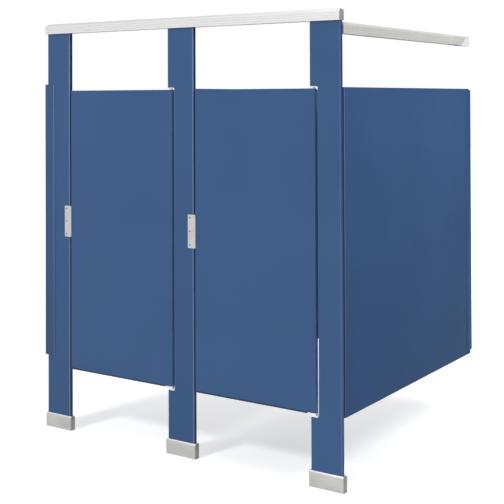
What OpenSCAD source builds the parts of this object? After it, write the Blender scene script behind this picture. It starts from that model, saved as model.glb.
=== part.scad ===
// Two-compartment toilet cubicle in powder-coated steel, for a corner: the left end and the back
// are fixed to walls, the right end is closed by a free-standing end panel.
// X runs to the right along the front, Y to the back and Z up. The origin is on the floor, at the
// middle of the middle pilaster's foot, so Y = 0 is the mid-plane of the doors and pilasters.

/* [Layout] */
// Distance between the left edges of neighbouring pilasters
stall_pitch = 820; // [780:5:900]
// Width of each pilaster
pilaster_w = 160; // [150:1:180]
// Distance from the pilasters' front faces to the back wall
depth = 1490; // [1300:10:1700]
// Gap between the side wall and the first pilaster
wall_gap = 12; // [12:0.5:18]
// Gap between the back wall and the rear edges of the panels
rear_gap = 12; // [8:0.5:16]

/* [Heights] */
// Floor to the undersides of the doors and panels
door_z = 325; // [280:1:380]
// Height of the doors
door_h = 1473; // [1400:1:1500]
// Height of the divider and the end panel
panel_h = 1478; // [1400:1:1510]
// Floor to the underside of the front headrail
rail_z = 2103; // [2060:1:2200]
// Floor to the underside of the side headrail
side_rail_z = 2044; // [1960:1:2045]
// Floor to the underside of the pilasters, inside the shoes
foot_gap = 45; // [40:1:55]

/* [Pilasters] */
// Thickness of the pilasters
pilaster_t = 26; // [25:0.5:32]
// Radius of the pilasters' vertical edges
pilaster_r = 6; // [4:0.5:9]
// Thickness of the steel sheet of pilasters, doors and panels
sheet = 1; // [0.8:0.1:1.4]
// Depth of the notch that a door's hinge edge turns in
notch_w = 40; // [38:1:44]
// Gap between a door's top and the notch's upper ledge
top_gap = 10.5; // [9:0.5:14]
// Gap between a door's underside and the notch's lower ledge
low_gap = 12.5; // [11:0.5:16]

/* [Doors and panels] */
// Thickness of the doors and panels
leaf_t = 24; // [22:0.5:25]
// Radius of their vertical edges
leaf_r = 3; // [2:0.5:4]
// Gap between a pilaster's edge and the door's latch edge
latch_gap = 9; // [8:0.5:10]
// How far a door reaches past the pilaster's edge into its notch
door_reach = 26; // [25:0.5:28]
// Distance from the door's hinge edge to the pivot axis
pivot_in = 13; // [12:0.5:14]
// How far the end panel's outer face stands proud of the last pilaster's edge
panel_proud = 4; // [0:0.5:6]

/* [Headrails] */
// Width of the headrail profile
rail_w = 41; // [40:0.5:48]
// Height of the profile's ridge
rail_h = 53; // [51:0.5:60]
// Height of the profile's front face, below the bevel
rail_face = 42; // [41:0.5:46]
// Drop of the profile's top from the ridge to the back edge
rail_fall = 7.5; // [4:0.5:8]
// Distance of the ridge from the front face
ridge_in = 12; // [10:0.5:16]
// Wall thickness of the profile
rail_wall = 2.2; // [1.8:0.1:2.4]
// Distance between the pair of screws that tie the headrail to a pilaster
rail_screw_pitch = 90; // [60:2:110]
// Depth of the slot that takes the pilasters' tops
slot_h = 38; // [34:0.5:38.5]
// Depth of the anti-grip grooves
groove_d = 0.8; // [0.5:0.1:1]
// Thickness of the headrail's end cap
cap_t = 1.5; // [1:0.5:4]

/* [Shoes and feet] */
// Height of the shoes
shoe_h = 73; // [70:1:80]
// How far a shoe stands out at each side of its pilaster
shoe_side = 11.5; // [8:0.5:11.5]
// How far a shoe stands out in front of and behind its pilaster
shoe_front = 5; // [4:0.5:8]
// Thickness of the shoes' stainless sheet
shoe_sheet = 1.2; // [1:0.1:1.5]
// Length of the floor plate inside a shoe
plate_l = 140; // [130:1:146]
// Thickness of the floor plate
plate_t = 6; // [5:0.5:8]
// Distance between the floor anchors' holes
anchor_pitch = 100; // [90:1:106]
// Diameter of the floor anchors' holes
anchor_d = 11; // [9:0.5:12]
// Distance between the two levelling studs
stud_pitch = 50; // [44:1:56]
// Diameter of the levelling studs
stud_d = 10; // [8:0.5:12]
// How far a stud reaches up into its pilaster
stud_reach = 50; // [40:1:60]

/* [Keepers] */
// Height of the keeper's middle above the door's underside
latch_h = 780; // [700:5:860]
// Height of the keeper plate
keeper_h = 164; // [150:1:180]
// Width of the keeper plate on the pilaster's face
keeper_face = 32; // [31:1:36]
// How far the keeper's lip reaches past the pilaster's edge
keeper_lip = 14; // [13.5:0.5:16]
// Thickness of the keeper plate
keeper_t = 3; // [2.5:0.1:3.5]
// Distance between the keeper's screws
keeper_pitch = 67; // [60:1:70]

/* [Latches] */
// Height of the sliding bolt
bolt_h = 16; // [14:0.5:18]
// Thickness of the sliding bolt
bolt_t = 6.6; // [6:0.1:6.8]
// Travel of the sliding bolt
bolt_travel = 22; // [18:1:24]
// Length of the latch case
case_l = 92; // [84:1:100]
// Height of the latch case
case_h = 44; // [40:1:50]
// Diameter of the latch's knob
knob_d = 24; // [20:1:28]

/* [Hinges] */
// Diameter of the hinge pins
pin_d = 10; // [9:0.1:10.4]
// Radial running clearance of the hinge pins
pin_clear = 0.05; // [0.03:0.01:0.08]
// How far a hinge pin reaches into its block
pin_reach = 20; // [16:1:24]
// Length of the hinge blocks in the doors' corners
block_l = 44; // [42:1:50]
// Height of the hinge blocks
block_h = 60; // [50:1:70]
// Height of the lower block that shows above the door's underside
block_show = 5; // [3:0.5:6]
// How far the lower block stands below the door's underside
block_drop = 5; // [4:0.5:6]

/* [Coat hooks] */
// Distance from the door's latch edge to the coat hook
hook_in = 110; // [80:5:140]
// Distance of the coat hook below the door's top
hook_drop = 98; // [80:1:160]
// Reach of the coat hook's post from the door's face
hook_reach = 44; // [38:1:46]

/* [Wall channels and brackets] */
// Height of the wall channels
channel_h = 1450; // [1400:1:1460]
// Floor to the underside of the pilaster's wall channel
front_channel_z = 382; // [340:1:420]
// Depth of the pilaster's wall channel, from the wall
front_channel_l = 64; // [56:1:90]
// Depth of the panels' wall channels, from the wall
rear_channel_l = 50; // [44:1:70]
// Thickness of the pilaster's wall channel
front_channel_t = 5; // [4:0.5:6]
// Thickness of the panels' wall channels
rear_channel_t = 3; // [2.5:0.5:4]
// Distance between the outer pair of holes in a wall channel
channel_far = 1250; // [1200:5:1300]
// Distance between the inner pair of holes in a wall channel
channel_near = 420; // [380:5:460]
// Distance of the outer pair of screws from a channel's ends
channel_screw_in = 125; // [60:5:200]
// Distance of the end brackets from a panel's top and underside
bracket_in = 150; // [90:5:250]
// Height of the brackets that join the panels to the pilasters
bracket_h = 50; // [44:1:60]
// Length of the brackets' legs along the panels
bracket_l = 42; // [38:1:50]
// Thickness of the brackets
bracket_t = 3; // [2.5:0.5:4]

/* [Hidden] */
$fn = 48;

// Clearance between pieces that lie against each other without a fit
gap = 0.3;
// A cut runs this far past the face that it opens
cut = 1;

// Places worked out from the driving sizes
half_t = pilaster_t / 2;
wall_y = depth - half_t;
wall_x = -stall_pitch - pilaster_w / 2 - wall_gap;
door_w = stall_pitch - pilaster_w - latch_gap + door_reach;
low_ledge = door_z - low_gap;
top_ledge = door_z + door_h + top_gap;
pilaster_top = rail_z + slot_h - gap;
latch_z = door_z + latch_h;
door_back = leaf_t / 2;
end_panel_x = stall_pitch + pilaster_w / 2 + panel_proud - leaf_t / 2;
divider_y = half_t + bracket_t + 1;
end_panel_y = half_t + 3;
divider_l = wall_y - rear_gap - divider_y;
end_panel_l = wall_y - rear_gap - end_panel_y;
rear_channel_z = door_z + panel_h - 7 - channel_h;
slot_w = pilaster_t + 1;
rail_ends = [-stall_pitch - pilaster_w / 2, stall_pitch + pilaster_w / 2];
side_rail_x = stall_pitch + pilaster_w / 2 + 2 - rail_w / 2;

// Left edge of a pilaster, 0 to 2
function pilaster_x(i) = (i - 1) * stall_pitch - pilaster_w / 2;
// Latch edge and pivot axis of a door, 0 or 1
function door_x(i) = pilaster_x(i) + pilaster_w + latch_gap;
function pivot_x(i) = pilaster_x(i + 1) + door_reach - pivot_in;

// Colours of the finishes
blue = [0.24, 0.36, 0.52];
blue_dark = [0.18, 0.29, 0.44];
steel = [0.74, 0.74, 0.72];
satin = [0.86, 0.86, 0.85];
cast = [0.8, 0.8, 0.78];
nylon = [0.88, 0.88, 0.86];
rubber = [0.12, 0.12, 0.13];
board = [0.76, 0.66, 0.48];

// ---- General shapes ----

// Rectangle w by t with its left edge at x = 0, middled on y = 0, with round corners
module round_rect(w, t, r) {
    translate([r, -t / 2]) square([w - 2 * r, t]);
    translate([0, r - t / 2]) square([w, t - 2 * r]);
    for (x = [r, w - r], y = [r - t / 2, t / 2 - r]) translate([x, y]) circle(r = r);
}

// Upright slab with round vertical edges, standing on z = 0
module slab(w, t, h, r) {
    linear_extrude(h) round_rect(w, t, r);
}

// Extrude a profile drawn in the YZ plane along +X
module along_x(l) {
    rotate([90, 0, 90]) linear_extrude(l) children();
}

// Extrude a profile drawn in the XZ plane along -Y
module along_minus_y(l) {
    rotate([90, 0, 0]) linear_extrude(l) children();
}

// Round rod along +Y
module rod_y(d, l) {
    rotate([-90, 0, 0]) cylinder(d = d, h = l);
}

// Round rod along +X
module rod_x(d, l) {
    rotate([0, 90, 0]) cylinder(d = d, h = l);
}

// Pan-head screw: head towards -Y from the origin, shank towards +Y
screw_head = 8.5;
screw_head_t = 2.2;
screw_d = 4;
module screw_y(l) {
    translate([0, -screw_head_t, 0]) rod_y(screw_head, screw_head_t);
    rod_y(screw_d, l);
}

// Hexagonal nut standing on z = 0
nut_af = 16;
nut_h = 8;
module nut(d) {
    difference() {
        cylinder(d = nut_af / cos(30), h = nut_h, $fn = 6);
        translate([0, 0, -cut]) cylinder(d = d, h = nut_h + 2 * cut);
    }
}

// ---- Pilasters ----

// Outer form of a pilaster, drawn in by e on every face; a notched one has a door hinged on it
module pilaster_form(notched, e) {
    r = pilaster_r - e;
    t = pilaster_t - 2 * e;
    left = notched ? notch_w : 0;
    translate([left + e, 0, foot_gap + e])
        slab(pilaster_w - left - 2 * e, t, pilaster_top - foot_gap - 2 * e, r);
    if (notched) {
        translate([e, 0, foot_gap + e]) slab(pilaster_w - 2 * e, t, low_ledge - foot_gap - 2 * e, r);
        translate([e, 0, top_ledge + e])
            slab(pilaster_w - 2 * e, t, pilaster_top - top_ledge - 2 * e, r);
    }
}

// Bores for the levelling studs and the hinge pins
pin_sink = 25;
stud_bore = stud_d + 1;
module pilaster_bores(notched) {
    for (x = [-1, 1]) translate([pilaster_w / 2 + x * stud_pitch / 2, 0, foot_gap - cut])
        cylinder(d = stud_bore, h = stud_reach + 2 * cut);
    if (notched) {
        translate([door_reach - pivot_in, 0, low_ledge - pin_sink])
            cylinder(d = pin_d, h = pin_sink + cut);
        translate([door_reach - pivot_in, 0, top_ledge - cut]) cylinder(d = pin_d, h = pin_sink + cut);
    }
}

module pilaster(i) {
    color(blue) translate([pilaster_x(i), 0, 0]) difference() {
        pilaster_form(i > 0, 0);
        pilaster_form(i > 0, sheet);
        pilaster_bores(i > 0);
    }
}

module pilaster_cores() {
    color(board) for (i = [0 : 2]) translate([pilaster_x(i), 0, 0]) difference() {
        pilaster_form(i > 0, sheet);
        pilaster_bores(i > 0);
    }
}

// ---- Doors and panels: two sheet-steel pans round a honeycomb core ----

// Keeps the front (side -1) or the back (side 1) half of a leaf
module half(side, w, h) {
    translate([-cut, side < 0 ? -leaf_t : 0, -2 * block_drop])
        cube([w + 2 * cut, leaf_t, h + 4 * block_drop]);
}

module leaf_shell(w, h) {
    difference() {
        slab(w, leaf_t, h, leaf_r);
        leaf_core(w, h);
    }
}

module leaf_core(w, h) {
    translate([sheet, 0, sheet]) slab(w - 2 * sheet, leaf_t - 2 * sheet, h - 2 * sheet, leaf_r - sheet);
}

// Room for the hinge blocks in a door's corners: the lower one also shows below the pans
module block_room() {
    inner_t = leaf_t - 2 * sheet;
    translate([door_w - block_l, -inner_t / 2, -cut]) cube([block_l - sheet, inner_t, block_h + cut]);
    translate([door_w - block_l, -leaf_t, -cut]) cube([block_l + cut, 2 * leaf_t, block_show + cut]);
    translate([door_w - block_l, -inner_t / 2, door_h - block_h])
        cube([block_l - sheet, inner_t, block_h + cut]);
}

module door_pan(i, side) {
    color(blue) translate([door_x(i), 0, door_z]) intersection() {
        difference() {
            leaf_shell(door_w, door_h);
            block_room();
        }
        half(side, door_w, door_h);
    }
}

module door_core(i) {
    color(board) translate([door_x(i), 0, door_z]) difference() {
        leaf_core(door_w, door_h);
        block_room();
    }
}

module divider_place() {
    translate([0, divider_y, door_z]) rotate(90) children();
}

module end_panel_place() {
    translate([end_panel_x, end_panel_y, door_z]) rotate(90) children();
}

module panel_pan(l, side) {
    color(blue) intersection() {
        leaf_shell(l, panel_h);
        half(side, l, panel_h);
    }
}

// ---- Headrails ----

// Outer outline of the anti-grip profile: front face, steep bevel, ridge, long fall to the back
module rail_outline() {
    polygon([[-rail_w / 2, 0], [-rail_w / 2, rail_face], [ridge_in - rail_w / 2 - 2, rail_h - 0.6],
        [ridge_in - rail_w / 2, rail_h], [ridge_in - rail_w / 2 + 3, rail_h - 0.5],
        [rail_w / 2 - 2, rail_h - rail_fall], [rail_w / 2, rail_h - rail_fall - 2], [rail_w / 2, 0]]);
}

// Hollow above the slot, one wall inside the outline
module rail_chamber() {
    x = rail_w / 2 - rail_wall;
    floor_z = slot_h + rail_wall;
    polygon([[-x, floor_z], [-x, rail_face - 1], [ridge_in - rail_w / 2 + 1, rail_h - rail_wall - 0.8],
        [x, rail_h - rail_fall - rail_wall - 0.8], [x, floor_z]]);
}

groove_pitch = 11;
groove_w = 2.2;
module rail_profile() {
    lip = (rail_w - slot_w) / 2;
    difference() {
        rail_outline();
        rail_chamber();
        translate([-slot_w / 2, -cut]) square([slot_w, slot_h + cut]);
        for (s = [-1, 1]) {
            // closed chamber between the slot and each face
            translate([s * (slot_w + lip) / 2 - (lip - 2 * rail_wall) / 2, rail_wall])
                square([lip - 2 * rail_wall, slot_h - rail_wall]);
            for (k = [1 : 3]) translate([s * rail_w / 2 - groove_d, k * groove_pitch - groove_w])
                square([2 * groove_d, groove_w]);
        }
    }
}

module headrail_front() {
    color(satin) translate([rail_ends[0], 0, rail_z]) along_x(rail_ends[1] - rail_ends[0])
        rail_profile();
}

side_rail_y = half_t + bracket_t;
module headrail_side() {
    color(satin) translate([side_rail_x, wall_y - rail_wall, side_rail_z])
        along_minus_y(wall_y - rail_wall - side_rail_y) mirror([1, 0]) rail_profile();
}

module headrail_end_cap() {
    color(cast) translate([rail_ends[1], 0, rail_z]) {
        along_x(cap_t) rail_outline();
        translate([-12, -rail_w / 4, slot_h + rail_wall + gap]) cube([12, rail_w / 2, 3]);
    }
}

// Socket that carries the front headrail's left end on the side wall
wall_hole_d = 6.5;
socket_pitch = 20;
socket_floor = 3;
module headrail_side_socket() {
    color(satin) translate([wall_x, 0, rail_z]) difference() {
        union() {
            along_x(wall_gap) rail_outline();
            // tongue inside the rail's upper chamber
            translate([wall_gap - cut, -rail_w / 4, slot_h + rail_wall + gap])
                cube([20 + cut, rail_w / 2, 3]);
        }
        translate([socket_floor, -slot_w / 2, -cut]) cube([wall_gap, slot_w, slot_h + cut]);
        for (k = [-1, 1]) translate([-cut, 0, slot_h / 2 + k * socket_pitch / 2]) rod_x(wall_hole_d, 6);
    }
}

// Cradle that carries the side headrail's far end on the back wall, its cheeks cut at a slant
cradle_l = 110;
cradle_top_l = 50;
cradle_h = 40;
cradle_t = 1.6;
module headrail_back_socket() {
    outer = rail_w / 2 + gap + cradle_t;
    color(satin) translate([side_rail_x, wall_y, side_rail_z]) difference() {
        union() {
            translate([-outer, gap - rail_wall, -gap - cradle_t])
                cube([2 * outer, rail_wall - gap, rail_h]);
            for (s = [0, 1]) mirror([s, 0, 0])
                translate([outer - cradle_t, 0, -gap - cradle_t]) along_x(cradle_t)
                    polygon([[-cradle_l, 0], [0, 0], [0, cradle_h], [-cradle_top_l, cradle_h],
                        [-cradle_l, cradle_t]]);
            translate([-outer, -cradle_l, -gap - cradle_t]) cube([2 * outer, cradle_l, cradle_t]);
        }
        for (k = [-1, 1]) translate([0, -rail_wall - cut, slot_h / 2 + k * socket_pitch / 2])
            rod_y(wall_hole_d, rail_wall + 2 * cut);
    }
}

// Plate and tongue that carry the side headrail's front end on the last pilaster's back
tongue_l = 60;
plate_drop = 24;
module headrail_corner_bracket() {
    color(cast) translate([side_rail_x, half_t, side_rail_z]) {
        translate([-rail_w / 2, 0, -plate_drop])
            cube([rail_w / 2 + 12, bracket_t, plate_drop + rail_h - 6]);
        translate([-slot_w / 2 + gap, bracket_t, 6]) cube([slot_w / 2 + 8, tongue_l, slot_h - 12]);
    }
}

module headrail_screws() {
    color(cast) {
        // two through the headrail's back into each pilaster's top
        for (i = [0 : 2], s = [-1, 1])
            translate([pilaster_x(i) + pilaster_w / 2 + s * rail_screw_pitch / 2, rail_w / 2, rail_z + 6])
                rotate(180) screw_y(rail_w / 2 - half_t + 6);
        // two through the side headrail's inner face into the tongue
        for (k = [0, 1])
            translate([side_rail_x - rail_w / 2, side_rail_y + 18 + 26 * k, side_rail_z + 21])
                rotate(-90) screw_y((rail_w - slot_w) / 2 + 8);
        // two through the bracket into the pilaster's back
        for (k = [0, 1])
            translate([side_rail_x - 12 + 18 * k, half_t + bracket_t, side_rail_z - plate_drop / 2])
                rotate(180) screw_y(bracket_t + 8);
    }
}

// ---- Shoes and feet ----

module shoe_shell(e) {
    w = pilaster_w + 2 * shoe_side - 2 * e;
    t = pilaster_t + 2 * shoe_front - 2 * e;
    r = pilaster_r + 2 - e;
    rim = shoe_front - shoe_sheet;
    hull() {
        translate([-w / 2, 0, 0]) linear_extrude(shoe_h - rim) round_rect(w, t, r);
        translate([-w / 2 + rim, 0, 0]) linear_extrude(shoe_h) round_rect(w - 2 * rim, t - 2 * rim, r);
    }
}

module shoe(i) {
    open_w = pilaster_w + 2 * gap;
    open_t = pilaster_t + 2 * gap;
    color(steel) translate([pilaster_x(i) + pilaster_w / 2, 0, 0]) difference() {
        shoe_shell(0);
        translate([0, 0, -shoe_sheet]) shoe_shell(shoe_sheet);
        translate([-open_w / 2, 0, shoe_h / 2]) linear_extrude(shoe_h)
            round_rect(open_w, open_t, pilaster_r);
    }
}

module foot_plate(i) {
    plate_w = pilaster_t + 2 * shoe_front - 2 * shoe_sheet - 3;
    color(steel) translate([pilaster_x(i) + pilaster_w / 2, 0, 0]) difference() {
        translate([-plate_l / 2, 0, 0]) slab(plate_l, plate_w, plate_t, 4);
        for (s = [-1, 1]) {
            translate([s * anchor_pitch / 2, 0, -cut]) cylinder(d = anchor_d, h = plate_t + 2 * cut);
            translate([s * stud_pitch / 2, 0, -cut]) cylinder(d = stud_d, h = plate_t + 2 * cut);
        }
    }
}

module at_studs() {
    for (i = [0 : 2], s = [-1, 1])
        translate([pilaster_x(i) + pilaster_w / 2 + s * stud_pitch / 2, 0, 0]) children();
}

module levelling_studs() {
    color(steel) at_studs() cylinder(d = stud_d, h = foot_gap + stud_reach);
}

module levelling_nuts() {
    color(steel) at_studs() {
        translate([0, 0, plate_t]) nut(stud_d);
        translate([0, 0, foot_gap - nut_h]) nut(stud_d);
    }
}

// ---- Keepers: stop lip outside, strike for the bolt inside ----

web_t = 2.2;
strike_l = 30;
strike_wall = 2.5;
bolt_gap = 0.7;
bolt_y = door_back + 3.8;
bumper_in = 1.5;
screw_in = 12.5;

module keeper_plate() {
    // front plate with its lip, in the XZ plane
    w = keeper_face + keeper_lip;
    translate([-keeper_face, -half_t, -keeper_h / 2]) along_minus_y(keeper_t)
        translate([0, keeper_h / 2]) round_rect(w, keeper_h, 4);
}

module keeper(i) {
    hook_h = bolt_h + 2 * bolt_gap + 2 * strike_wall;
    strike_out = bolt_y + bolt_t + bolt_gap;
    color(cast) translate([pilaster_x(i) + pilaster_w, 0, latch_z]) difference() {
        union() {
            keeper_plate();
            // web past the pilaster's edge and flange on its back
            translate([0, -half_t - keeper_t / 2, -hook_h])
                cube([web_t, pilaster_t + keeper_t / 2 + 2, 2 * hook_h]);
            translate([-strike_l - 6, half_t, -hook_h]) cube([strike_l + 6 + web_t, 2, 2 * hook_h]);
            // strap that the bolt runs into
            translate([-strike_l, half_t, -hook_h / 2])
                cube([strike_l + web_t - gap, strike_out + strike_wall - half_t, hook_h]);
        }
        translate([-strike_l - cut, bolt_y - bolt_gap, -hook_h / 2 + strike_wall])
            cube([strike_l + web_t + 2 * cut, bolt_t + 2 * bolt_gap, hook_h - 2 * strike_wall]);
        // groove for the bumper behind the lip
        translate([web_t + 1.6, -half_t - bumper_in, -keeper_h / 2 + 6])
            cube([keeper_lip - web_t - 2.6, bumper_in + cut, keeper_h - 12]);
        for (k = [-1 : 1])
            translate([-keeper_face + screw_in, -half_t - keeper_t - cut, k * keeper_pitch])
                rod_y(screw_d, keeper_t + 2 * cut);
    }
}

module keeper_bumpers() {
    color(rubber) for (i = [0, 1]) {
        x = pilaster_x(i) + pilaster_w + web_t + 1.6;
        translate([x, -half_t - bumper_in, latch_z - keeper_h / 2 + 6])
            cube([keeper_lip - web_t - 2.6, half_t + bumper_in - door_back - gap, keeper_h - 12]);
    }
}

module keeper_screws() {
    color(cast) for (i = [0, 1], k = [-1 : 1]) {
        x = pilaster_x(i) + pilaster_w - keeper_face + screw_in;
        translate([x, -half_t - keeper_t, latch_z + k * keeper_pitch]) screw_y(keeper_t + 8);
    }
}

// ---- Hinge pivots ----

module lower_pivot(i) {
    seat_h = low_gap - block_drop - gap;
    color(nylon) {
        translate([pilaster_x(i + 1) + 0.5, 0, low_ledge])
            slab(notch_w - 2.5, pilaster_t - 1, seat_h, pilaster_r - 1);
        translate([pivot_x(i), 0, low_ledge - pin_sink])
            cylinder(d = pin_d, h = pin_sink + seat_h + gap + pin_reach);
    }
}

module upper_pivot(i) {
    seat_t = 3;
    color(nylon) {
        translate([pilaster_x(i + 1) + 0.5, 0, top_ledge - seat_t])
            slab(notch_w - 2.5, pilaster_t - 1, seat_t, pilaster_r - 1);
        translate([pivot_x(i), 0, door_z + door_h + 0.6]) cylinder(d = 18, h = top_gap - 0.6);
        translate([pivot_x(i), 0, door_z + door_h - pin_reach])
            cylinder(d = pin_d, h = pin_reach + top_gap + pin_sink);
    }
}

module hinge_blocks(i) {
    inner_t = leaf_t - 2 * sheet;
    bore = pin_d + 2 * pin_clear;
    color(nylon) translate([door_x(i), 0, door_z]) {
        difference() {
            union() {
                translate([door_w - block_l, 0, -block_drop])
                    slab(block_l, leaf_t, block_drop + block_show, leaf_r);
                translate([door_w - block_l, -inner_t / 2, 0])
                    cube([block_l - sheet, inner_t, block_h]);
            }
            translate([door_w - pivot_in, 0, -block_drop - cut])
                cylinder(d = bore, h = pin_reach + block_drop + 2);
        }
        difference() {
            translate([door_w - block_l, -inner_t / 2, door_h - block_h])
                cube([block_l - sheet, inner_t, block_h]);
            translate([door_w - pivot_in, 0, door_h - pin_reach - 1])
                cylinder(d = bore, h = pin_reach + 1 + cut);
        }
    }
}

// ---- Latches ----

case_in = 8;
case_base = 3;
case_cover = 5.5;
knob_stem = 8;
knob_t = 11;
bolt_clear = 0.2;
tunnel_y = door_back + 3.6;
case_y = bolt_t + 0.4 + case_base + case_cover + 0.6;

module latch_case(i) {
    // case on the door's inner face, bored through for the bolt, slotted for the knob
    slot_x = knob_x() - bolt_travel - knob_stem / 2 - 1;
    color(cast) translate([door_x(i) + case_in, door_back, latch_z]) difference() {
        union() {
            translate([0, case_base, 0]) along_minus_y(case_base) round_rect(case_l, case_h, 7);
            translate([4, case_y, 0]) along_minus_y(case_y) round_rect(case_l - 8, case_h - 20, 5);
        }
        translate([-cut, bolt_y - door_back - bolt_clear, -bolt_h / 2 - bolt_clear])
            cube([case_l + 2 * cut, bolt_t + 2 * bolt_clear, bolt_h + 2 * bolt_clear]);
        translate([slot_x, bolt_y + bolt_t - door_back - cut, -knob_stem / 2 - 0.6])
            cube([bolt_travel + knob_stem + 2, case_cover + 4, knob_stem + 1.2]);
        for (s = [-1, 1], x = [8, case_l - 8]) translate([x, -cut, s * (case_h / 2 - 5)])
            rod_y(screw_d, case_base + 2 * cut);
    }
}

// Knob's place along the case when the bolt is drawn back
function knob_x() = case_l - 24;

module latch_bolt(i) {
    color(cast) translate([door_x(i) + case_in, 0, latch_z]) {
        translate([-case_in + 2, bolt_y, -bolt_h / 2]) cube([case_l + case_in - 8, bolt_t, bolt_h]);
        translate([knob_x(), bolt_y + bolt_t - cut, 0]) rod_y(knob_stem, case_cover + cut + 2);
        translate([knob_x(), door_back + case_y + 0.5, 0]) rod_y(knob_d, 2.5);
        translate([knob_x(), door_back + case_y + 3, 0]) rod_y(knob_d - 5, knob_t - 3);
    }
}

// ---- Coat hooks ----

hook_w = 38;
hook_plate_h = 62;
hook_plate_t = 3;
hook_rod = 8;
hook_curl = 13;
hook_low = 20;
hook_out = 14;
post_d = 12;
post_up = 9;

module at_hook(i) {
    translate([door_x(i) + hook_in, door_back, door_z + door_h - hook_drop]) children();
}

module coat_hook(i) {
    color(cast) at_hook(i) difference() {
        union() {
            translate([-hook_w / 2, hook_plate_t, 0]) along_minus_y(hook_plate_t)
                round_rect(hook_w, hook_plate_h, 8);
            translate([0, 0, post_up]) rod_y(post_d, hook_reach);
            // hook that curls up below the post, with a ball on its tip
            translate([0, 0, -hook_low]) rod_y(hook_rod, hook_out);
            translate([0, hook_out, hook_curl - hook_low]) rotate([90, 0, 90]) rotate(-90)
                rotate_extrude(angle = 90) translate([hook_curl, 0]) circle(d = hook_rod);
            translate([0, hook_out + hook_curl, hook_curl - hook_low]) sphere(d = hook_rod + 3);
        }
        for (s = [-1, 1]) translate([s * 12, -cut, s * 22]) rod_y(screw_d, hook_plate_t + 2 * cut);
    }
}

module hook_bumper(i) {
    color(rubber) at_hook(i) translate([0, hook_reach, post_up]) {
        rod_y(18, 7);
        translate([0, 7, 0]) rod_y(14, 3);
    }
}

module door_screws(i) {
    color(cast) {
        translate([door_x(i) + case_in, door_back + case_base, latch_z])
            for (s = [-1, 1], x = [8, case_l - 8]) translate([x, 0, s * (case_h / 2 - 5)])
                rotate(180) screw_y(case_base + 8);
        at_hook(i) for (s = [-1, 1]) translate([s * 12, hook_plate_t, s * 22])
            rotate(180) screw_y(hook_plate_t + 8);
    }
}

// ---- Wall channels ----

// U-section round an edge t thick, open towards +X, with rounded free edges, web on x = 0
module channel_section(l, t, wall) {
    inner = t / 2 + gap;
    difference() {
        union() {
            translate([0, -inner - wall]) square([l - wall, 2 * (inner + wall)]);
            for (s = [-1, 1]) translate([l - wall, s * inner]) intersection() {
                circle(r = wall);
                translate([0, s < 0 ? -wall : 0]) square(wall);
            }
        }
        translate([wall, -inner]) square([l, 2 * inner]);
    }
}

module wall_channel(l, t, wall) {
    difference() {
        linear_extrude(channel_h) channel_section(l, t, wall);
        for (p = [channel_far, channel_near], k = [-1, 1])
            translate([-cut, 0, channel_h / 2 + k * p / 2]) rod_x(wall_hole_d, wall + 2 * cut);
    }
}

module pilaster_wall_channel() {
    color(blue) translate([wall_x, 0, front_channel_z])
        wall_channel(front_channel_l, pilaster_t, front_channel_t);
}

module panel_wall_channel(x) {
    color(blue_dark) translate([x, wall_y, rear_channel_z]) rotate(-90)
        wall_channel(rear_channel_l, leaf_t, rear_channel_t);
}

module channel_screws() {
    side = leaf_t / 2 + gap + rear_channel_t;
    far = channel_h / 2 - channel_screw_in;
    front = half_t + gap + front_channel_t;
    rear = wall_y - rear_channel_l + 18;
    color(cast) for (z = [-far, 0, far]) translate([0, 0, channel_h / 2 + z]) {
        translate([wall_x + front_channel_l - 20, front, front_channel_z])
            rotate(180) screw_y(front_channel_t + 8);
        translate([side, rear, rear_channel_z]) rotate(90) screw_y(rear_channel_t + 8);
        translate([end_panel_x - side, rear, rear_channel_z]) rotate(-90) screw_y(rear_channel_t + 8);
    }
}

// ---- Brackets between panels and pilasters ----

bracket_zs = [door_z + bracket_in, door_z + panel_h / 2, door_z + panel_h - bracket_in];
bracket_foot = 26;

// Angle bracket with one leg on the pilaster's back and one on a panel's face at x = 0
module angle_bracket() {
    translate([-bracket_foot, 0, -bracket_h / 2]) cube([bracket_foot, bracket_t, bracket_h]);
    translate([-bracket_t, 0, 0]) rotate([90, 0, 90])
        linear_extrude(bracket_t) round_rect(bracket_l, bracket_h, 5);
    translate([-bracket_t, 0, -bracket_h / 2]) cube([bracket_t, bracket_l / 2, bracket_h]);
}

module divider_brackets() {
    color(cast) for (z = bracket_zs) translate([0, half_t, z]) {
        for (s = [0, 1]) mirror([s, 0, 0]) translate([-leaf_t / 2, 0, 0]) angle_bracket();
        translate([-leaf_t / 2, 0, -bracket_h / 2]) cube([leaf_t, bracket_t, bracket_h]);
    }
}

module end_panel_brackets() {
    color(cast) for (z = bracket_zs) translate([end_panel_x - leaf_t / 2, half_t, z]) angle_bracket();
}

module bracket_screws() {
    leg_y = half_t + bracket_l - 12;
    color(cast) for (z = bracket_zs) {
        for (s = [-1, 1]) {
            translate([s * (leaf_t / 2 + bracket_foot - 9), half_t + bracket_t, z]) rotate(180)
                screw_y(bracket_t + 8);
            translate([s * (leaf_t / 2 + bracket_t), leg_y, z]) rotate(s * 90) screw_y(bracket_t + 8);
        }
        translate([end_panel_x - leaf_t / 2 - bracket_foot + 9, half_t + bracket_t, z])
            rotate(180) screw_y(bracket_t + 8);
        translate([end_panel_x - leaf_t / 2 - bracket_t, leg_y, z]) rotate(-90) screw_y(bracket_t + 8);
    }
}

// ---- Nodes ----

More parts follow.
